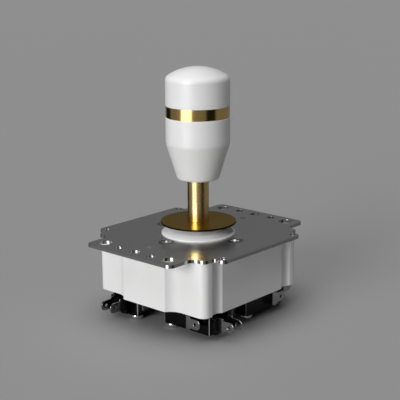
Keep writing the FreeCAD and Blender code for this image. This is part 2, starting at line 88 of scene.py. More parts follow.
# Steps round the axis, in a rim's quarter, in a seam, round a hole, round a wire and in a turn of the coil
TURN_STEPS = 160
RIM_STEPS = 3
SEAM_STEPS = 5
HOLE_STEPS = 40
WIRE_STEPS = 12
COIL_STEPS = 48

# Edges of CAD nodes sharper than this many degrees are eased
EASE_ANGLE = 30.0

# Grip: how far the spigot inside the band stands back, the rise of band and cap, and the shared roundings
SPIGOT_STEP = 0.9 * MM
BAND_RISE = 0.8 * MM
SHOULDER_RISE = 0.25 * MM
SEAM = 0.25 * MM
SOFT = 0.2 * MM
CRISP = 0.05 * MM

# Bore of the washer and of the tube that stands on it
COVER_BORE = 4.05 * MM

# Plate: each kind of hole as the place in its first quadrant and its radius
PLATE_EDGE = 0.1 * MM
MOUNT_HOLES = ((20.2 * MM, 42.0 * MM), 3.25 * MM)
INNER_HOLES = ((10.2 * MM, 43.1 * MM), 1.9 * MM)
MIDDLE_HOLES = ((0.0, 43.1 * MM), 2.4 * MM)
EAR_HOLES = ((36.75 * MM, 25.2 * MM), 1.65 * MM)
SPIGOT_HOLE = 12.45 * MM
PEG_DIMPLES = ((0.0, 33.5 * MM), 1.8 * MM)
DIMPLE_DEPTH = 0.2 * MM

# Countersunk screws: distance from the axis, radii of head and shank, and how far each is turned
SCREW_PITCH = 22.5 * MM
SCREW_HEAD = 3.9 * MM
SCREW_SHANK = 2.0 * MM
SCREW_TURNS = (38.0, 52.0, 45.0, 41.0)

# Upright corners of the switches, where a painted highlight runs: the larger and the smaller of |x| and |y|
CASE_CORNERS = ((27.3 * MM, 2.9 * MM), (30.7 * MM, 27.3 * MM), (30.7 * MM, 11.4 * MM))


def reach(node):
    """Lowest and highest corner of a CAD node, as two lists of plain numbers."""
    low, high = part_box(node)
    return [float(value) for value in low], [float(value) for value in high]


class Flow:
    """A shader socket that Python operators work on; each operation adds a Math node behind it."""

    def __init__(self, tree, socket):
        self.tree = tree
        self.socket = socket

    def node(self, kind, settings=None, output=0, **inputs):
        """Adds a node of any type: its settings first, then values or links for its sockets."""
        made = self.tree.nodes.new(kind)
        for key, value in (settings or {}).items():
            setattr(made, key, value)
        for key, value in inputs.items():
            place = int(key[1:]) if key[1:].isdigit() else key.replace("_", " ")
            if isinstance(value, Flow):
                self.tree.links.new(value.socket, made.inputs[place])
            else:
                made.inputs[place].default_value = value
        return Flow(self.tree, made.outputs[output])

    def math(self, operation, *values):
        """One Math node on these values."""
        named = {"i" + str(i): value for i, value in enumerate(values)}
        return self.node("ShaderNodeMath", {"operation": operation}, **named)

    def __add__(self, other):
        return self.math("ADD", self, other)

    def __radd__(self, other):
        return self.math("ADD", other, self)

    def __sub__(self, other):
        return self.math("SUBTRACT", self, other)

    def __rsub__(self, other):
        return self.math("SUBTRACT", other, self)

    def __mul__(self, other):
        return self.math("MULTIPLY", self, other)

    def __rmul__(self, other):
        return self.math("MULTIPLY", other, self)

    def __truediv__(self, other):
        return self.math("DIVIDE", self, other)

    def root(self):
        """Square root."""
        return self.math("SQRT", self)

    def size(self):
        """This number without its sign."""
        return self.math("ABSOLUTE", self)

    def larger(self, other):
        """The larger of two numbers."""
        return self.math("MAXIMUM", self, other)

    def smaller(self, other):
        """The smaller of two numbers."""
        return self.math("MINIMUM", self, other)

    def distance(self, other):
        """Distance from the corner of a right angle whose sides are this number and another."""
        return (self * self + other * other).root()

    def between(self, low, high):
        """0 below low, 1 above high, straight between."""
        return self.node("ShaderNodeMapRange", {"clamp": True}, i0=self, i1=low, i2=high)

    def mixed(self, first, second):
        """Colour mixed from first, where this is 0, to second, where it is 1."""
        return self.node("ShaderNodeMix", {"data_type": "RGBA"}, 2, i0=self, i6=first, i7=second)

    def stretched(self, scale):
        """This vector times a scale along each axis."""
        return self.node("ShaderNodeVectorMath", {"operation": "MULTIPLY"}, i0=self, i1=scale)

    def noise(self, scale, detail, roughness):
        """Noise from 0 to 1 at this vector."""
        return self.node("ShaderNodeTexNoise", None, 0, Vector=self, Scale=scale, Detail=detail,
                         Roughness=roughness)

    def lines(self, scale, detail):
        """Noise from 0 to 1 that changes along this number alone."""
        return self.node("ShaderNodeTexNoise", {"noise_dimensions": "1D"}, 0, W=self * scale, Scale=1.0,
                         Detail=detail)

    def parts(self):
        """The three numbers of this vector."""
        split = self.node("ShaderNodeSeparateXYZ", i0=self)
        return [Flow(self.tree, out) for out in split.socket.node.outputs]

    def bump(self, height, distance, strength):
        """Normal of a surface raised by height times distance, in metres, on top of this normal."""
        return self.node("ShaderNodeBump", None, 0, Strength=strength, Distance=distance, Height=height,
                         Normal=self)


def finish_of(name, **fixed):
    """New material: its shader, its Object coordinates and its plain normal."""
    material = bpy.data.materials.new(name)
    material.use_nodes = True
    tree = material.node_tree
    shader = tree.nodes["Principled BSDF"]
    for key, value in fixed.items():
        shader.inputs[key.replace("_", " ")].default_value = value
    place = Flow(tree, tree.nodes.new("ShaderNodeTexCoord").outputs["Object"])
    normal = Flow(tree, tree.nodes.new("ShaderNodeNewGeometry").outputs["Normal"])
    return material, place, normal


def feed(material, **flows):
    """Links flows to the shader's sockets."""
    tree = material.node_tree
    shader = tree.nodes["Principled BSDF"]
    for key, flow in flows.items():
        tree.links.new(flow.socket, shader.inputs[key.replace("_", " ")])
    return material


def grey(level, warm=0.0):
    """Grey colour, a little warmer than neutral where asked."""
    return (level * (1.0 + warm), level, level * (1.0 - warm), 1.0)


def moulded_white():
    """White engineering plastic: a fine sparked skin, faint flow clouds and slightly dusty patches."""
    material, place, normal = finish_of("moulded_white", IOR=1.48)
    cloud = place.noise(38.0, 4.0, 0.6)
    skin = place.noise(2600.0, 2.0, 0.6)
    tone = cloud.between(0.3, 0.7).mixed(grey(0.80, 0.004), grey(0.84, 0.002))
    rough = 0.42 + 0.08 * (cloud - 0.5) + 0.1 * (skin - 0.5)
    return feed(material, Base_Color=tone, Roughness=rough, Normal=normal.bump(skin, 0.012 * MM, 0.5))


def grip_white():
    """White satin plastic of the grip: smoother, with a very slight orange peel and handling marks."""
    material, place, normal = finish_of("grip_white", IOR=1.5)
    cloud = place.noise(55.0, 4.0, 0.6)
    peel = place.noise(700.0, 1.0, 0.4)
    rub = place.stretched((900.0, 900.0, 60.0)).noise(1.0, 3.0, 0.6)
    tone = cloud.between(0.3, 0.7).mixed(grey(0.79, 0.003), grey(0.82, 0.002))
    rough = 0.33 + 0.1 * (cloud - 0.5) + 0.06 * (rub - 0.5)
    return feed(material, Base_Color=tone, Roughness=rough, Normal=normal.bump(peel, 0.02 * MM, 0.35))


def polished_gold():
    """Gold coloured metal, turned and polished: faint lines round the axis and clouded lacquer."""
    material, place, normal = finish_of("polished_gold", Metallic=1.0)
    ring = place.parts()[2].lines(9000.0, 2.0)
    cloud = place.noise(120.0, 3.0, 0.5)
    tone = cloud.between(0.3, 0.7).mixed((0.80, 0.545, 0.20, 1.0), (0.86, 0.60, 0.235, 1.0))
    rough = 0.16 + 0.06 * (cloud - 0.5) + 0.08 * (ring - 0.5)
    return feed(material, Base_Color=tone, Roughness=rough, Normal=normal.bump(ring, 0.004 * MM, 0.4))


def satin_gold():
    """The same gold on the tube, drawn and left a little duller, with faint lines along it."""
    material, place, normal = finish_of("satin_gold", Metallic=1.0)
    draw = place.stretched((5000.0, 5000.0, 90.0)).noise(1.0, 3.0, 0.6)
    cloud = place.noise(140.0, 3.0, 0.5)
    tone = cloud.between(0.3, 0.7).mixed((0.78, 0.55, 0.24, 1.0), (0.84, 0.60, 0.27, 1.0))
    rough = 0.27 + 0.04 * (cloud - 0.5) + 0.02 * (draw - 0.5)
    return feed(material, Base_Color=tone, Roughness=rough, Normal=normal.bump(draw, 0.0003 * MM, 0.2))


def faced_gold():
    """Gold coloured sheet of the washer, faced in a lathe: fine circles round the shaft, a rim painted near
    black in place of its dark reflection, and a bare underside."""
    low, high = reach("dust_washer")
    material, place, normal = finish_of("faced_gold", Metallic=1.0, Specular_Tint=(0.6, 0.62, 0.58, 1.0))
    x, y, z = place.parts()
    radius = x.distance(y)
    circles = radius.lines(9000.0, 3.0)
    cloud = place.noise(90.0, 3.0, 0.6)
    face = circles.between(0.2, 0.8).mixed((0.58, 0.36, 0.085, 1.0), (0.64, 0.41, 0.105, 1.0))
    # Painted reflection: the outer rim is painted near black for the dark surroundings it would reflect
    dark = radius.between(high[0] - 0.1 * MM, high[0] - 0.06 * MM)
    under = 1.0 - z.between(low[2] + 0.05 * MM, low[2] + 0.15 * MM)
    tone = dark.mixed(under.mixed(face, grey(0.7)), (0.012, 0.009, 0.005, 1.0))
    rough = 0.3 + 0.08 * (cloud - 0.5) + 0.1 * (circles - 0.5) + 0.3 * dark
    return feed(material, Base_Color=tone, Roughness=rough, Normal=normal.bump(circles, 0.01 * MM, 0.6))


def brushed_plate():
    """Satin steel sheet: very fine scratches along Y and drifting tone. Its punched walls carry painted
    shade, with painted light where they face -Y. The peg dimple at -Y is matt and the one at Y is painted
    dark as a hole's shaded inside."""
    (peg_x, peg_y), peg_r = PEG_DIMPLES
    material, place, normal = finish_of("brushed_plate", Metallic=1.0)
    fine = place.stretched((5200.0, 60.0, 5200.0)).noise(1.0, 3.0, 0.65)
    long = place.stretched((1300.0, 14.0, 1300.0)).noise(1.0, 2.0, 0.6)
    cloud = place.noise(45.0, 4.0, 0.6)
    grain = 0.6 * fine + 0.4 * long
    upright = 1.0 - normal.parts()[2].size().between(0.3, 0.9)
    # Painted shade and light: upright walls are painted dark, and lighter where they face -Y, towards the
    # key
    wall = (normal.parts()[1] * -1.0).between(0.4, 0.9).mixed(grey(0.42), grey(0.72))
    x, y = place.parts()[:2]
    dimple = 1.0 - (x - peg_x).distance(y.size() - peg_y).between(peg_r - 0.6 * MM, peg_r - 0.1 * MM)
    matt = dimple * (1.0 - y.between(-0.001 * MM, 0.0))
    sheet = grain.between(0.25, 0.75).mixed(grey(0.68), grey(0.73))
    # Painted shade: the dimple at Y is painted dark like the shaded inside of a hole
    face = (dimple - matt).mixed(sheet, grey(0.4))
    tone = upright.mixed(face, wall)
    rough = 0.25 + 0.07 * (grain - 0.5) + 0.05 * (cloud - 0.5) - 0.15 * upright + 0.3 * matt
    return feed(material, Base_Color=tone, Roughness=rough, Normal=normal.bump(grain, 0.0015 * MM, 0.4))


def plated_steel():
    """Bright zinc plate on screws and pins."""
    material, place, normal = finish_of("plated_steel", Metallic=1.0)
    cloud = place.noise(420.0, 3.0, 0.6)
    tone = cloud.between(0.3, 0.7).mixed(grey(0.66, 0.01), grey(0.76, -0.01))
    return feed(material, Base_Color=tone, Roughness=0.2 + 0.14 * (cloud - 0.5),
                Normal=normal.bump(cloud, 0.01 * MM, 0.3))


def blackened_steel():
    """Dark oxide on the countersunk screws, rubbed in places, with a painted highlight in the cross recess.
    """
    material, place, normal = finish_of("blackened_steel", Metallic=1.0)
    cloud = place.noise(500.0, 3.0, 0.6)
    # Painted highlight: the cross recess is painted bright where the key would glint
    recess = 1.0 - place.parts()[2].between(-0.3 * MM, -0.1 * MM)
    oxide = cloud.between(0.3, 0.7).mixed(grey(0.26, 0.01), grey(0.38, 0.0))
    tone = recess.mixed(oxide, grey(0.9))
    return feed(material, Base_Color=tone, Roughness=0.16 + 0.12 * (cloud - 0.5) + 0.25 * recess,
                Normal=normal.bump(cloud, 0.008 * MM, 0.3))


def turned_steel():
    """Ground steel of shaft, ring and pins, with turning lines."""
    material, place, normal = finish_of("turned_steel", Metallic=1.0)
    ring = place.parts()[2].lines(7000.0, 2.0)
    cloud = place.noise(150.0, 3.0, 0.5)
    tone = cloud.between(0.3, 0.7).mixed(grey(0.56), grey(0.64))
    return feed(material, Base_Color=tone, Roughness=0.25 + 0.1 * (ring - 0.5),
                Normal=normal.bump(ring, 0.006 * MM, 0.4))


def spring_steel():
    """Drawn wire and spring strip: darker, a little oily."""
    material, place, normal = finish_of("spring_steel", Metallic=1.0)
    cloud = place.noise(300.0, 3.0, 0.6)
    tone = cloud.between(0.3, 0.7).mixed(grey(0.42, 0.02), grey(0.56, -0.01))
    return feed(material, Base_Color=tone, Roughness=0.28 + 0.16 * (cloud - 0.5),
                Normal=normal.bump(cloud, 0.008 * MM, 0.3))


def terminal_metal():
    """Tinned brass blades: soft grey metal with a rolled grain."""
    material, place, normal = finish_of("terminal_metal", Metallic=1.0)
    grain = place.stretched((3000.0, 3000.0, 240.0)).noise(1.0, 3.0, 0.6)
    cloud = place.noise(260.0, 3.0, 0.6)
    tone = cloud.between(0.3, 0.7).mixed(grey(0.31, 0.01), grey(0.36, 0.0))
    rough = 0.19 + 0.08 * (grain - 0.5) + 0.08 * (cloud - 0.5)
    return feed(material, Base_Color=tone, Roughness=rough, Normal=normal.bump(grain, 0.003 * MM, 0.4))


def black_plastic():
    """Black thermoset of the switches, with a faint moulded grain and a pale painted highlight down its
    upright corners.
    """
    material, place, normal = finish_of("black_plastic", IOR=1.28)
    cloud = place.noise(160.0, 4.0, 0.6)
    skin = place.noise(2200.0, 2.0, 0.6)
    x, y = [part.size() for part in place.parts()[:2]]
    far, near = x.larger(y), x.smaller(y)
    first, second, third = [(far - a).distance(near - b) for a, b in CASE_CORNERS]
    # Painted highlight: a pale band down the upright corners, where the key would glint
    painted_corner_highlight = 1.0 - first.smaller(second).smaller(third).between(0.3 * MM, 0.4 * MM)
    body = cloud.between(0.3, 0.7).mixed(grey(0.0006), grey(0.0014))
    tone = painted_corner_highlight.mixed(body, grey(0.26))
    rough = 0.2 + 0.1 * (cloud - 0.5) + 0.06 * (skin - 0.5)
    return feed(material, Base_Color=tone, Roughness=rough, Normal=normal.bump(skin, 0.006 * MM, 0.4))


def red_plastic():
    """Small red plungers of the switches."""
    material, place, normal = finish_of("red_plastic", IOR=1.5)
    cloud = place.noise(300.0, 3.0, 0.6)
    tone = cloud.between(0.3, 0.7).mixed((0.42, 0.03, 0.02, 1.0), (0.52, 0.045, 0.03, 1.0))
    return feed(material, Base_Color=tone, Roughness=0.35 + 0.1 * (cloud - 0.5),
                Normal=normal.bump(cloud, 0.006 * MM, 0.3))


WHITE = moulded_white()
GRIP = grip_white()
GOLD = polished_gold()
TUBE = satin_gold()
FACED = faced_gold()
PLATE = brushed_plate()
PLATED = plated_steel()
OXIDE = blackened_steel()
SPRING = spring_steel()

# Each slot's finish, and the width of its soft edges on CAD nodes
slot_looks = {
    "white_plastic": (WHITE, 0.2 * MM),
    "grip_plastic": (GRIP, 0.2 * MM),
    "gold": (GOLD, 0.1 * MM),
    "plate_steel": (PLATE, 0.1 * MM),
    "screw_steel": (PLATED, 0.15 * MM),
    "shaft_steel": (turned_steel(), 0.12 * MM),
    "spring_steel": (SPRING, 0.08 * MM),
    "terminal_metal": (terminal_metal(), 0.1 * MM),
    "black_plastic": (black_plastic(), 0.18 * MM),
    "red_plastic": (red_plastic(), 0.12 * MM),
}


def arc(centre, radius, start, stop, steps):
    """Points centre + radius * (cos t, sin t), for evenly spaced angles t from start to stop in degrees."""
    t = np.radians(np.linspace(start, stop, steps + 1))
    return np.stack([centre[0] + radius * np.cos(t), centre[1] + radius * np.sin(t)], axis=1)


def rounded(corners, steps):
    """Closed counterclockwise outline through corners (x, y, radius), with its outward normals.

    Each corner is cut by an arc tangent to both sides: the arc's centre is radius / sin(h) from the
    corner along the bisector, where h is half the corner's angle.
    """
    points, normals = [], []
    for i, (x, y, radius) in enumerate(corners):
        corner = np.array([x, y])
        before = np.array(corners[i - 1][:2]) - corner
        after = np.array(corners[(i + 1) % len(corners)][:2]) - corner
        before /= np.linalg.norm(before)
        after /= np.linalg.norm(after)
        half = math.acos(float(np.clip(before @ after, -1.0, 1.0))) / 2.0
        centre = corner + (before + after) / np.linalg.norm(before + after) * radius / math.sin(half)
        start = corner + before * radius / math.tan(half) - centre
        turn = math.pi - 2.0 * half
        convex = before[0] * after[1] - before[1] * after[0] < 0.0
        sweep = np.linspace(0.0, turn if convex else -turn, steps + 1)
        first = math.atan2(start[1], start[0])
        spoke = np.stack([np.cos(first + sweep), np.sin(first + sweep)], axis=1)
        points.append(centre + radius * spoke)
        normals.append(spoke if convex else -spoke)
    return np.concatenate(points), np.concatenate(normals)


def as_hole(outline):
    """The same outline run the other way, with its normals turned towards its middle."""
    points, normals = outline
    return points[::-1], -normals[::-1]


def circle(x, y, radius, steps=HOLE_STEPS):
    """Counterclockwise circle and its outward normals."""
    t = np.linspace(0.0, 2.0 * math.pi, steps, endpoint=False)
    spoke = np.stack([np.cos(t), np.sin(t)], axis=1)
    return np.array([x, y]) + radius * spoke, spoke


def four_ways(corners):
    """A first quadrant's corners and their mirror images, in counterclockwise order."""
    whole = []
    for sx, sy in ((1, 1), (-1, 1), (-1, -1), (1, -1)):
        quarter = [(sx * x, sy * y, radius) for x, y, radius in corners]
        whole += quarter if sx * sy > 0 else quarter[::-1]
    return whole


def rim(low, high, edge):
    """Rows (inset, height) of an upright wall from low to high, each end rounded by a quarter circle."""
    under = arc((edge, low + edge), edge, 270.0, 180.0, RIM_STEPS)
    over = arc((edge, high - edge), edge, 180.0, 90.0, RIM_STEPS)
    return np.concatenate([under, over])


def filled(loops, points, upward):
    """Triangles between closed rings of points, found by Delaunay and kept where a ray from the triangle's
    middle crosses the rings an odd number of times."""
    flat = points[np.concatenate(loops)][:, :2]
    sizes = [len(loop) for loop in loops]
    starts = np.concatenate([[0], np.cumsum(sizes)[:-1]])
    edges = [(int(s + k), int(s + (k + 1) % n)) for s, n in zip(starts, sizes) for k in range(n)]
    found = delaunay_2d_cdt([Vector(p) for p in (flat / MM).tolist()], edges, [], 0, 1e-6)
    faces = np.array([tuple(face) for face in found[2]])
    origin = np.array([ids[0] for ids in found[3]])
    faces = origin[faces]
    middle = flat[faces].mean(axis=1)
    a, b = flat[[e[0] for e in edges]], flat[[e[1] for e in edges]]
    x, y = middle[:, :1], middle[:, 1:]
    spans = (a[:, 1] > y) != (b[:, 1] > y)
    rise = np.where(b[:, 1] == a[:, 1], 1.0, b[:, 1] - a[:, 1])
    crossing = a[:, 0] + (y - a[:, 1]) * (b[:, 0] - a[:, 0]) / rise
    inside = (spans & (x < crossing)).sum(axis=1) % 2 == 1
    faces = faces[inside]
    p, q, r = flat[faces[:, 0]], flat[faces[:, 1]], flat[faces[:, 2]]
    turn = (q - p)[:, 0] * (r - p)[:, 1] - (q - p)[:, 1] * (r - p)[:, 0]
    wrong = (turn > 0) != upward
    faces[wrong] = faces[wrong][:, ::-1]
    return np.concatenate(loops)[faces]


def lofted(loops, caps):
    """Closed skin of upright walls and level caps.

    A loop is (points, normals, rows): ring k of its wall is points - inset_k * normals at height_k. A cap
    fills between the rings (loop, row) that it names, and faces up or down.
    """
    vertices, faces, rings, count = [], [], [], 0
    for points, normals, rows in loops:
        rows = np.asarray(rows, dtype=float)
        flat = points[None] - rows[:, :1, None] * normals[None]
        height = np.broadcast_to(rows[:, 1][:, None, None], flat.shape[:2] + (1,))
        wall = np.concatenate([flat, height], axis=2)
        index = count + np.arange(wall.shape[0] * wall.shape[1]).reshape(wall.shape[:2])
        ahead = np.roll(index, -1, axis=1)
        quads = np.stack([index[:-1], ahead[:-1], ahead[1:], index[1:]], axis=-1).reshape(-1, 4)
        vertices.append(wall.reshape(-1, 3))
        faces.append(quads)
        rings.append(index)
        count += index.size
    vertices = np.concatenate(vertices)
    for named, upward in caps:
        faces.append(filled([rings[loop][row] for loop, row in named], vertices, upward))
    return vertices, faces


def turned(profile, steps=TURN_STEPS):
    """Surface of revolution of a closed profile that runs counterclockwise in (radius, height): each point
    goes to (radius cos t, radius sin t, height)."""
    t = np.linspace(0.0, 2.0 * math.pi, steps, endpoint=False)
    radius, height = profile[:, 0], profile[:, 1]
    ring = np.stack([np.outer(radius, np.cos(t)), np.outer(radius, np.sin(t)),
                     np.repeat(height[:, None], steps, axis=1)], axis=-1)
    index = np.arange(radius.size * steps).reshape(radius.size, steps)
    above = np.roll(index, -1, axis=0)
    ahead = np.roll(index, -1, axis=1)
    over = np.roll(above, -1, axis=1)
    quads = np.stack([index, ahead, over, above], axis=-1).reshape(-1, 4)
    return ring.reshape(-1, 3), [quads]


def welded(vertices, faces):
    """Merges equal points, drops empty faces and turns four-sided ones that lost a corner into triangles."""
    key = np.round(vertices / (1e-4 * MM)).astype(np.int64)
    first, where = np.unique(key, axis=0, return_index=True, return_inverse=True)[1:]
    where = where.reshape(-1)
    out = []
    for rows in faces:
        rows = where[rows]
        same = rows == np.roll(rows, -1, axis=1)
        whole = rows[~same.any(axis=1)]
        out += whole.tolist()
        if rows.shape[1] == 4:
            short = rows[same.sum(axis=1) == 1]
            gone = same[same.sum(axis=1) == 1]
            if len(short):
                out += short[~gone].reshape(-1, 3).tolist()
    return vertices[first], out


def piece(name, skins, body, finish, node):
    """New piece of one or more skins, in place of a CAD node and riding on a body."""
    vertices, faces, count = [], [], 0
    for skin in skins:
        points, rows = welded(*skin)
        vertices.append(points)
        faces += [[i + count for i in row] for row in rows]
        count += len(points)
    mesh = bpy.data.meshes.new(name)
    mesh.from_pydata(np.concatenate(vertices).tolist(), [], faces)
    mesh.shade_smooth()
    even_shading(mesh)
    mesh.materials.append(finish)
    obj = bpy.data.objects.new(name, mesh)
    bpy.context.scene.collection.objects.link(obj)
    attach(obj, body)
    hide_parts(node)


def even_shading(mesh):
    """Sets each vertex normal to the sum of its faces' normals times their areas."""
    count = len(mesh.polygons)
    normal = np.empty(count * 3)
    area = np.empty(count)
    total = np.empty(count, dtype=np.int32)
    corner = np.empty(len(mesh.loops), dtype=np.int32)
    mesh.polygons.foreach_get("normal", normal)
    mesh.polygons.foreach_get("area", area)
    mesh.polygons.foreach_get("loop_total", total)
    mesh.loops.foreach_get("vertex_index", corner)
    weight = np.repeat(normal.reshape(-1, 3) * area[:, None], total, axis=0)
    summed = np.zeros((len(mesh.vertices), 3))
    np.add.at(summed, corner, weight)
    length = np.linalg.norm(summed, axis=1, keepdims=True)
    mesh.normals_split_custom_set_from_vertices(summed / np.maximum(length, 1e-20))


def ease_edges(obj, width):
    """Rounds the sharp edges of a piece with live modifiers and evens out its shading."""
    weld = obj.modifiers.new("weld", "WELD")
    weld.merge_threshold = 0.002 * MM
    flat = obj.modifiers.new("flat", "DECIMATE")
    flat.decimate_type = "DISSOLVE"
    flat.angle_limit = math.radians(1.0)
    bevel = obj.modifiers.new("bevel", "BEVEL")
    bevel.width = width
    bevel.segments = 2
    bevel.limit_method = "ANGLE"
    bevel.angle_limit = math.radians(EASE_ANGLE)
    bevel.use_clamp_overlap = True
    even = obj.modifiers.new("even", "WEIGHTED_NORMAL")
    even.keep_sharp = True


def dress_nodes():
    """Gives each CAD node the finish of its slot, and soft edges as wide as that material shows."""
    slots = {part["node"]: part["material_slot"] for part in frame["record"]["subparts"]}
    for name, obj in frame["nodes"].items():
        obj.data.materials.clear()
        finish, edge = slot_looks[slots[name]]
        obj.data.materials.append(finish)
        if name != "return_spring":
            ease_edges(obj, edge)
    frame["nodes"]["dust_washer"].data.materials[0] = FACED


dress_nodes()


def grip():
    """Tapered lower grip, band and domed cap, each a turned skin inside its CAD node's box."""
    low, high = reach("grip_body")
    radius, bottom = high[0], low[2]
    low, high = reach("grip_band")
    outer, band_top = high[0], high[2] + BAND_RISE
    shoulder = low[2] + SHOULDER_RISE
    low, high = reach("grip_cap")
    base, top = low[2] + BAND_RISE, high[2]
    lower_grip(radius, bottom, shoulder)
    band_ring(radius, outer, shoulder, band_top)
    domed_cap(radius, base, top)


def lower_grip(radius, bottom, shoulder):
    """Lower grip: a taper up to the waist, a straight part up to the band and a spigot inside the band."""
    bore = 4.1 * MM
    foot, foot_round = 9.8 * MM, 1.7 * MM
    waist_z, waist_round = 43.4 * MM, 7.0 * MM
    spigot, spigot_top = radius - SPIGOT_STEP, shoulder + 2.0 * MM
    corners = [
        (bore, bottom, SOFT),
        (foot, bottom, foot_round),
        (radius, waist_z, waist_round),
        (radius, shoulder, SEAM),
        (spigot, shoulder, CRISP),
        (spigot, spigot_top, SOFT),
        (bore, spigot_top, SOFT),
    ]
    profile = rounded(corners, 8)[0]
    piece("grip_lower_skin", [turned(profile)], "lever", GRIP, "grip_body")


def band_ring(radius, outer, low, high):
    """Band: a plain ring round the spigot of the lower grip."""
    inner = radius - SPIGOT_STEP + 0.02 * MM
    edge = 0.12 * MM
    corners = [
        (inner, low, CRISP),
        (outer, low, edge),
        (outer, high, edge),
        (inner, high, CRISP),
    ]
    profile = rounded(corners, 4)[0]
    piece("grip_band_ring", [turned(profile)], "lever", GOLD, "grip_band")


def domed_cap(radius, base, top):
    """Cap of the grip: a straight side, a rounded edge and a dome that meet without a corner."""
    dome = 26.0 * MM
    edge = 3.2 * MM
    middle = top - dome
    edge_z = middle + math.sqrt((dome - edge) ** 2 - (radius - edge) ** 2)
    lean = math.degrees(math.atan2(edge_z - middle, radius - edge))
    profile = np.concatenate([
        [(0.0, base)],
        arc((radius - SEAM, base + SEAM), SEAM, 270.0, 360.0, SEAM_STEPS),
        arc((radius - edge, edge_z), edge, 0.0, lean, 12),
        arc((0.0, middle), dome, lean, 90.0, 24)[1:],
    ])
    profile[-1, 0] = 0.0
    piece("grip_dome", [turned(profile)], "lever", GRIP, "grip_cap")


def washer():
    """Thin turned washer with softly broken edges."""
    low, high = reach("dust_washer")
    corners = [
        (COVER_BORE, low[2], 0.1 * MM),
        (high[0], low[2], CRISP),
        (high[0], high[2], CRISP),
        (COVER_BORE, high[2], 0.1 * MM),
    ]
    profile = rounded(corners, 4)[0]
    piece("dust_washer_disc", [turned(profile)], "cover", FACED, "dust_washer")


def tube():
    """Tube that stands on the washer, its top edge the most rounded."""
    low, high = reach("shaft_cover")
    corners = [
        (COVER_BORE, low[2], 0.15 * MM),
        (high[0], low[2], 0.15 * MM),
        (high[0], high[2], 0.3 * MM),
        (COVER_BORE, high[2], 0.15 * MM),
    ]
    profile = rounded(corners, 4)[0]
    piece("shaft_cover_tube", [turned(profile)], "cover", TUBE, "shaft_cover")


def collar():
    """Moulded collar: a low lip, a cone up to a flatter ring round its mouth, and a spigot below. At full
    tilt the washer still clears the ring."""
    low, high = reach("dust_collar")
    outer, bottom = high[0], low[2]
    mouth, mouth_z = 9.6 * MM, 3.08 * MM
    ring, ring_z = 14.4 * MM, 2.15 * MM
    lip = 0.45 * MM
    spigot, wall, inside_z = 12.4 * MM, 1.2 * MM, 1.3 * MM
    corners = [
        (spigot - wall, bottom, 0.2 * MM),
        (spigot, bottom, 0.2 * MM),
        (spigot, 0.0, 0.02 * MM),
        (outer, 0.0, 0.05 * MM),
        (outer, lip, 0.15 * MM),
        (outer - lip, lip, 0.1 * MM),
        (ring, ring_z, 3.0 * MM),
        (mouth, mouth_z, 0.4 * MM),
        (mouth, mouth_z - wall, 0.3 * MM),
        (spigot - wall, inside_z, 0.5 * MM),
    ]
    profile = rounded(corners, 6)[0]
    piece("dust_collar_ring", [turned(profile)], "base", WHITE, "dust_collar")


def coil(radius, wire, low, high, turns):
    """Round wire on a helix, with flat ends.

    Turn angle t runs from 0 to 2 pi turns, and the wire's own angle a from 0 to 2 pi. The point lies at
    distance radius + wire cos a from the axis, at angle t, and at height
    low + (high - low) t / (2 pi turns) + wire sin a.
    """
    t = np.linspace(0.0, 2.0 * math.pi * turns, int(turns * COIL_STEPS) + 1)
    a = np.linspace(0.0, 2.0 * math.pi, WIRE_STEPS, endpoint=False)
    spoke = radius + wire * np.cos(a)
    rise = low + (high - low) * t / t[-1]
    points = np.stack([np.outer(spoke, np.cos(t)), np.outer(spoke, np.sin(t)),
                       rise[None] + wire * np.sin(a)[:, None]], axis=-1)
    index = np.arange(a.size * t.size).reshape(a.size, t.size)
    above = np.roll(index, -1, axis=0)
    quads = np.stack([index[:, :-1], index[:, 1:], above[:, 1:], above[:, :-1]], axis=-1).reshape(-1, 4)
    return points.reshape(-1, 3), [quads, index[None, :, 0], index[None, ::-1, -1]]


def spring():
    """Centring spring, split where it bends: its closed top coil leans with the cup, and the others stay on
    the seat with room for the cup to lean."""
    low, high = reach("return_spring")
    wire = 0.55 * MM
    radius = high[0] - wire
    seat, top = low[2] + wire, high[2] - wire
    room = 2.9 * MM
    turns = 2.25
    lower = coil(radius, wire, seat, top - room, turns)
    ring = turned(circle(radius, top, wire, WIRE_STEPS)[0], 2 * COIL_STEPS)
    piece("return_spring_coils", [lower], "base", SPRING, "return_spring")
    piece("return_spring_top", [ring], "lever", SPRING, "return_spring")


def mirrored_circles(place, radius):
    """One circle in each quadrant, or one at each end where the place is on the plate's long axis."""
    x, y = place
    signs = ((1, 1), (-1, 1), (-1, -1), (1, -1)) if x else ((1, 1), (1, -1))
    return [circle(sx * x, sy * y, radius) for sx, sy in signs]


def cross_points():
    """The four places on the axes where the countersunk screws stand."""
    return ((SCREW_PITCH, 0.0), (0.0, SCREW_PITCH), (-SCREW_PITCH, 0.0), (0.0, -SCREW_PITCH))


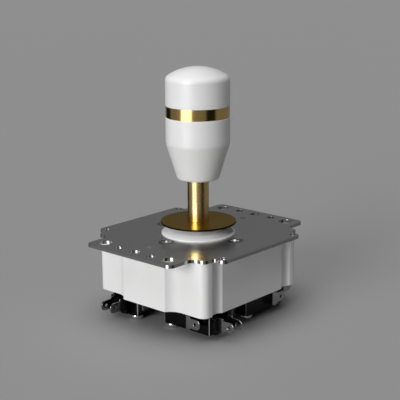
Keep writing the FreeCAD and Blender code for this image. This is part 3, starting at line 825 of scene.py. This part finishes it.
def plate():
    """Punched sheet with every rim softly rounded, countersinks for the four screws, and a shallow dimple
    over each of the housing's pegs."""
    low, high = reach("mounting_plate")
    ear_x, tab_y, top = high
    under = low[2]
    shoulder = 34.0 * MM
    ear_y, tab_x = 28.0 * MM, 26.8 * MM
    quarter = [
        (ear_x, ear_y, 2.6 * MM),
        (shoulder, ear_y, 1.2 * MM),
        (shoulder, shoulder, 3.0 * MM),
        (tab_x, shoulder, 3.6 * MM),
        (tab_x, tab_y, 3.2 * MM),
    ]
    rows = rim(under, top, PLATE_EDGE)
    outline = rounded(four_ways(quarter), 8)
    holes = [circle(0.0, 0.0, SPIGOT_HOLE, 96)]
    for place, radius in (MOUNT_HOLES, INNER_HOLES, MIDDLE_HOLES, EAR_HOLES):
        holes += mirrored_circles(place, radius)
    loops = [(*outline, rows)] + [(*as_hole(hole), rows) for hole in holes]
    slope = (SCREW_HEAD - SCREW_SHANK) / 2.0
    sink = [(-0.9 * slope, under), (-0.1 * slope, -0.12 * MM), (0.16 * MM, -0.04 * MM), (0.2 * MM, 0.0)]
    for x, y in cross_points():
        loops.append((*as_hole(circle(x, y, SCREW_HEAD)), sink))
    lower = [(k, 0) for k in range(len(loops))]
    dimple = [(-1.1 * MM, -DIMPLE_DEPTH), (-0.3 * MM, -0.6 * DIMPLE_DEPTH), (0.1 * MM, 0.0)]
    loops += [(*as_hole(hole), dimple) for hole in mirrored_circles(*PEG_DIMPLES)]
    upper = [(k, -1) for k in range(len(loops))]
    floors = [([(k, 0)], True) for k in range(len(lower), len(loops))]
    skin = lofted(loops, [(lower, False), (upper, True)] + floors)
    piece("plate_sheet", [skin], "base", PLATE, "mounting_plate")


def plate_screws():
    """Countersunk screws: a cone under a flat head, and a cross recess that narrows as it goes down."""
    bottom = reach("plate_screws")[0][2]
    cone = SCREW_HEAD - SCREW_SHANK
    rows = [(cone + 0.3 * MM, bottom), (cone, bottom + 0.4 * MM), (cone, -2.0 * MM), (0.2 * MM, -0.24 * MM),
            (0.16 * MM, -0.14 * MM), (0.32 * MM, -0.04 * MM)]
    arm, half = 2.25 * MM, 0.55 * MM
    tip_round, inner_round = 0.42 * MM, 0.12 * MM
    notch = [(arm, -half, tip_round), (arm, half, tip_round), (half, half, inner_round)]
    cross = []
    for c, s in ((1, 0), (0, 1), (-1, 0), (0, -1)):
        cross += [(c * x - s * y, s * x + c * y, r) for x, y, r in notch]
    cut, cut_normals = as_hole(rounded(cross, 3))
    recess = [(-0.34 * MM, -1.5 * MM), (-0.3 * MM, -1.4 * MM), (-0.04 * MM, -0.12 * MM),
              (0.04 * MM, -0.04 * MM)]
    skins = []
    for (x, y), lean in zip(cross_points(), SCREW_TURNS):
        a = math.radians(lean)
        spin = np.array([[math.cos(a), math.sin(a)], [-math.sin(a), math.cos(a)]])
        loops = [(*circle(x, y, SCREW_HEAD), rows), (cut @ spin + (x, y), cut_normals @ spin, recess)]
        skins.append(lofted(loops, [([(0, 0)], False), ([(0, -1), (1, -1)], True), ([(1, 0)], True)]))
    piece("plate_screw_heads", skins, "base", OXIDE, "plate_screws")


grip()
washer()
tube()
collar()
spring()
plate()
plate_screws()


def studio():
    """Grey floor, the room and the lamps."""
    floor_z = float(cad_box[0][2])
    bpy.ops.mesh.primitive_plane_add(size=30.0, location=(0, 0, floor_z))
    floor = bpy.context.object
    floor.name = "floor"
    floor.data.materials.append(floor_paint())

    world = bpy.data.worlds.new("studio")
    world.use_nodes = True
    bpy.context.scene.world = world
    surround(world.node_tree)
    for name, (energy, spread, toward) in LAMPS.items():
        soft_light(name, energy, spread, toward)


def soft_light(name, energy, spread, toward):
    """Broad lamp in one direction, spread over an angle in degrees. Only the key shows in reflections."""
    light = bpy.data.lights.new(name, "SUN")
    light.energy = energy
    light.angle = math.radians(spread)
    lamp = bpy.data.objects.new(name, light)
    lamp.rotation_euler = Vector(toward).normalized().to_track_quat("Z", "Y").to_euler()
    lamp.visible_glossy = name == "key"
    bpy.context.scene.collection.objects.link(lamp)


def floor_paint():
    """Plain grey paint. Glossy surfaces see it near the part only, and the room beyond."""
    material, place = finish_of("floor_paint", Roughness=0.9)[:2]
    cloud = place.noise(6.0, 3.0, 0.5)
    x, y = place.parts()[:2]
    far = x.distance(y).between(0.09, 0.14)
    glossy = glossy_ray(material.node_tree)
    return feed(material, Base_Color=cloud.mixed(grey(FLOOR_TONE), grey(FLOOR_TONE + 0.006)),
                Alpha=1.0 - glossy * far)


def glossy_ray(tree):
    """1 for what glossy surfaces see, 0 for the rest."""
    return Flow(tree, tree.nodes.new("ShaderNodeLightPath").outputs["Is Glossy Ray"])


def surround(tree):
    """Even grey room for diffuse light. Glossy surfaces see a tall pale panel at -Y, dark sides at X and -X,
    and a room that is a little dimmer above."""
    way = Flow(tree, tree.nodes.new("ShaderNodeTexCoord").outputs["Generated"])
    x, y, z = way.parts()
    sideways = x.size() / (x.distance(y) + 0.001)
    side = sideways.between(0.93, 0.965)
    front = (y * -1.0).between(0.0, 0.02)
    panel = (1.0 - sideways.between(0.30, 0.36)) * front * (1.0 - z.between(0.80, 0.86))
    room = ROOM_SEEN - 0.03 * z.between(-0.05, 0.3)
    seen = room * (1.0 - 0.94 * side) + PANEL_SEEN * panel
    glossy = glossy_ray(tree)
    strength = ROOM_LIGHT * (1.0 - glossy) + seen * glossy
    background = tree.nodes["Background"]
    background.inputs["Color"].default_value = grey(1.0)
    tree.links.new(strength.socket, background.inputs["Strength"])


def look():
    """The camera, at the photograph's viewing angle."""
    azimuth, elevation, roll = [math.radians(v) for v in (CAMERA_AZIMUTH, CAMERA_ELEVATION, CAMERA_ROLL)]
    back = Vector((math.sin(azimuth) * math.cos(elevation), -math.cos(azimuth) * math.cos(elevation),
                   math.sin(elevation)))
    right = Vector((math.cos(azimuth), math.sin(azimuth), 0.0))
    up = back.cross(right)
    across = right * math.cos(roll) + up * math.sin(roll)
    upward = up * math.cos(roll) - right * math.sin(roll)
    eye = bpy.data.cameras.new("camera")
    eye.lens = LENS
    eye.sensor_width = 36.0
    eye.sensor_fit = "HORIZONTAL"
    eye.clip_start = 0.01
    camera = bpy.data.objects.new("camera", eye)
    spot = back * CAMERA_DISTANCE + across * CAMERA_ACROSS + upward * CAMERA_UP
    turn = Matrix((across, upward, back)).transposed().to_4x4()
    camera.matrix_world = Matrix.Translation(spot) @ turn
    bpy.context.scene.collection.objects.link(camera)
    bpy.context.scene.camera = camera


studio()
look()
bpy.context.scene.view_settings.view_transform = "Standard"

bpy.context.view_layer.update()
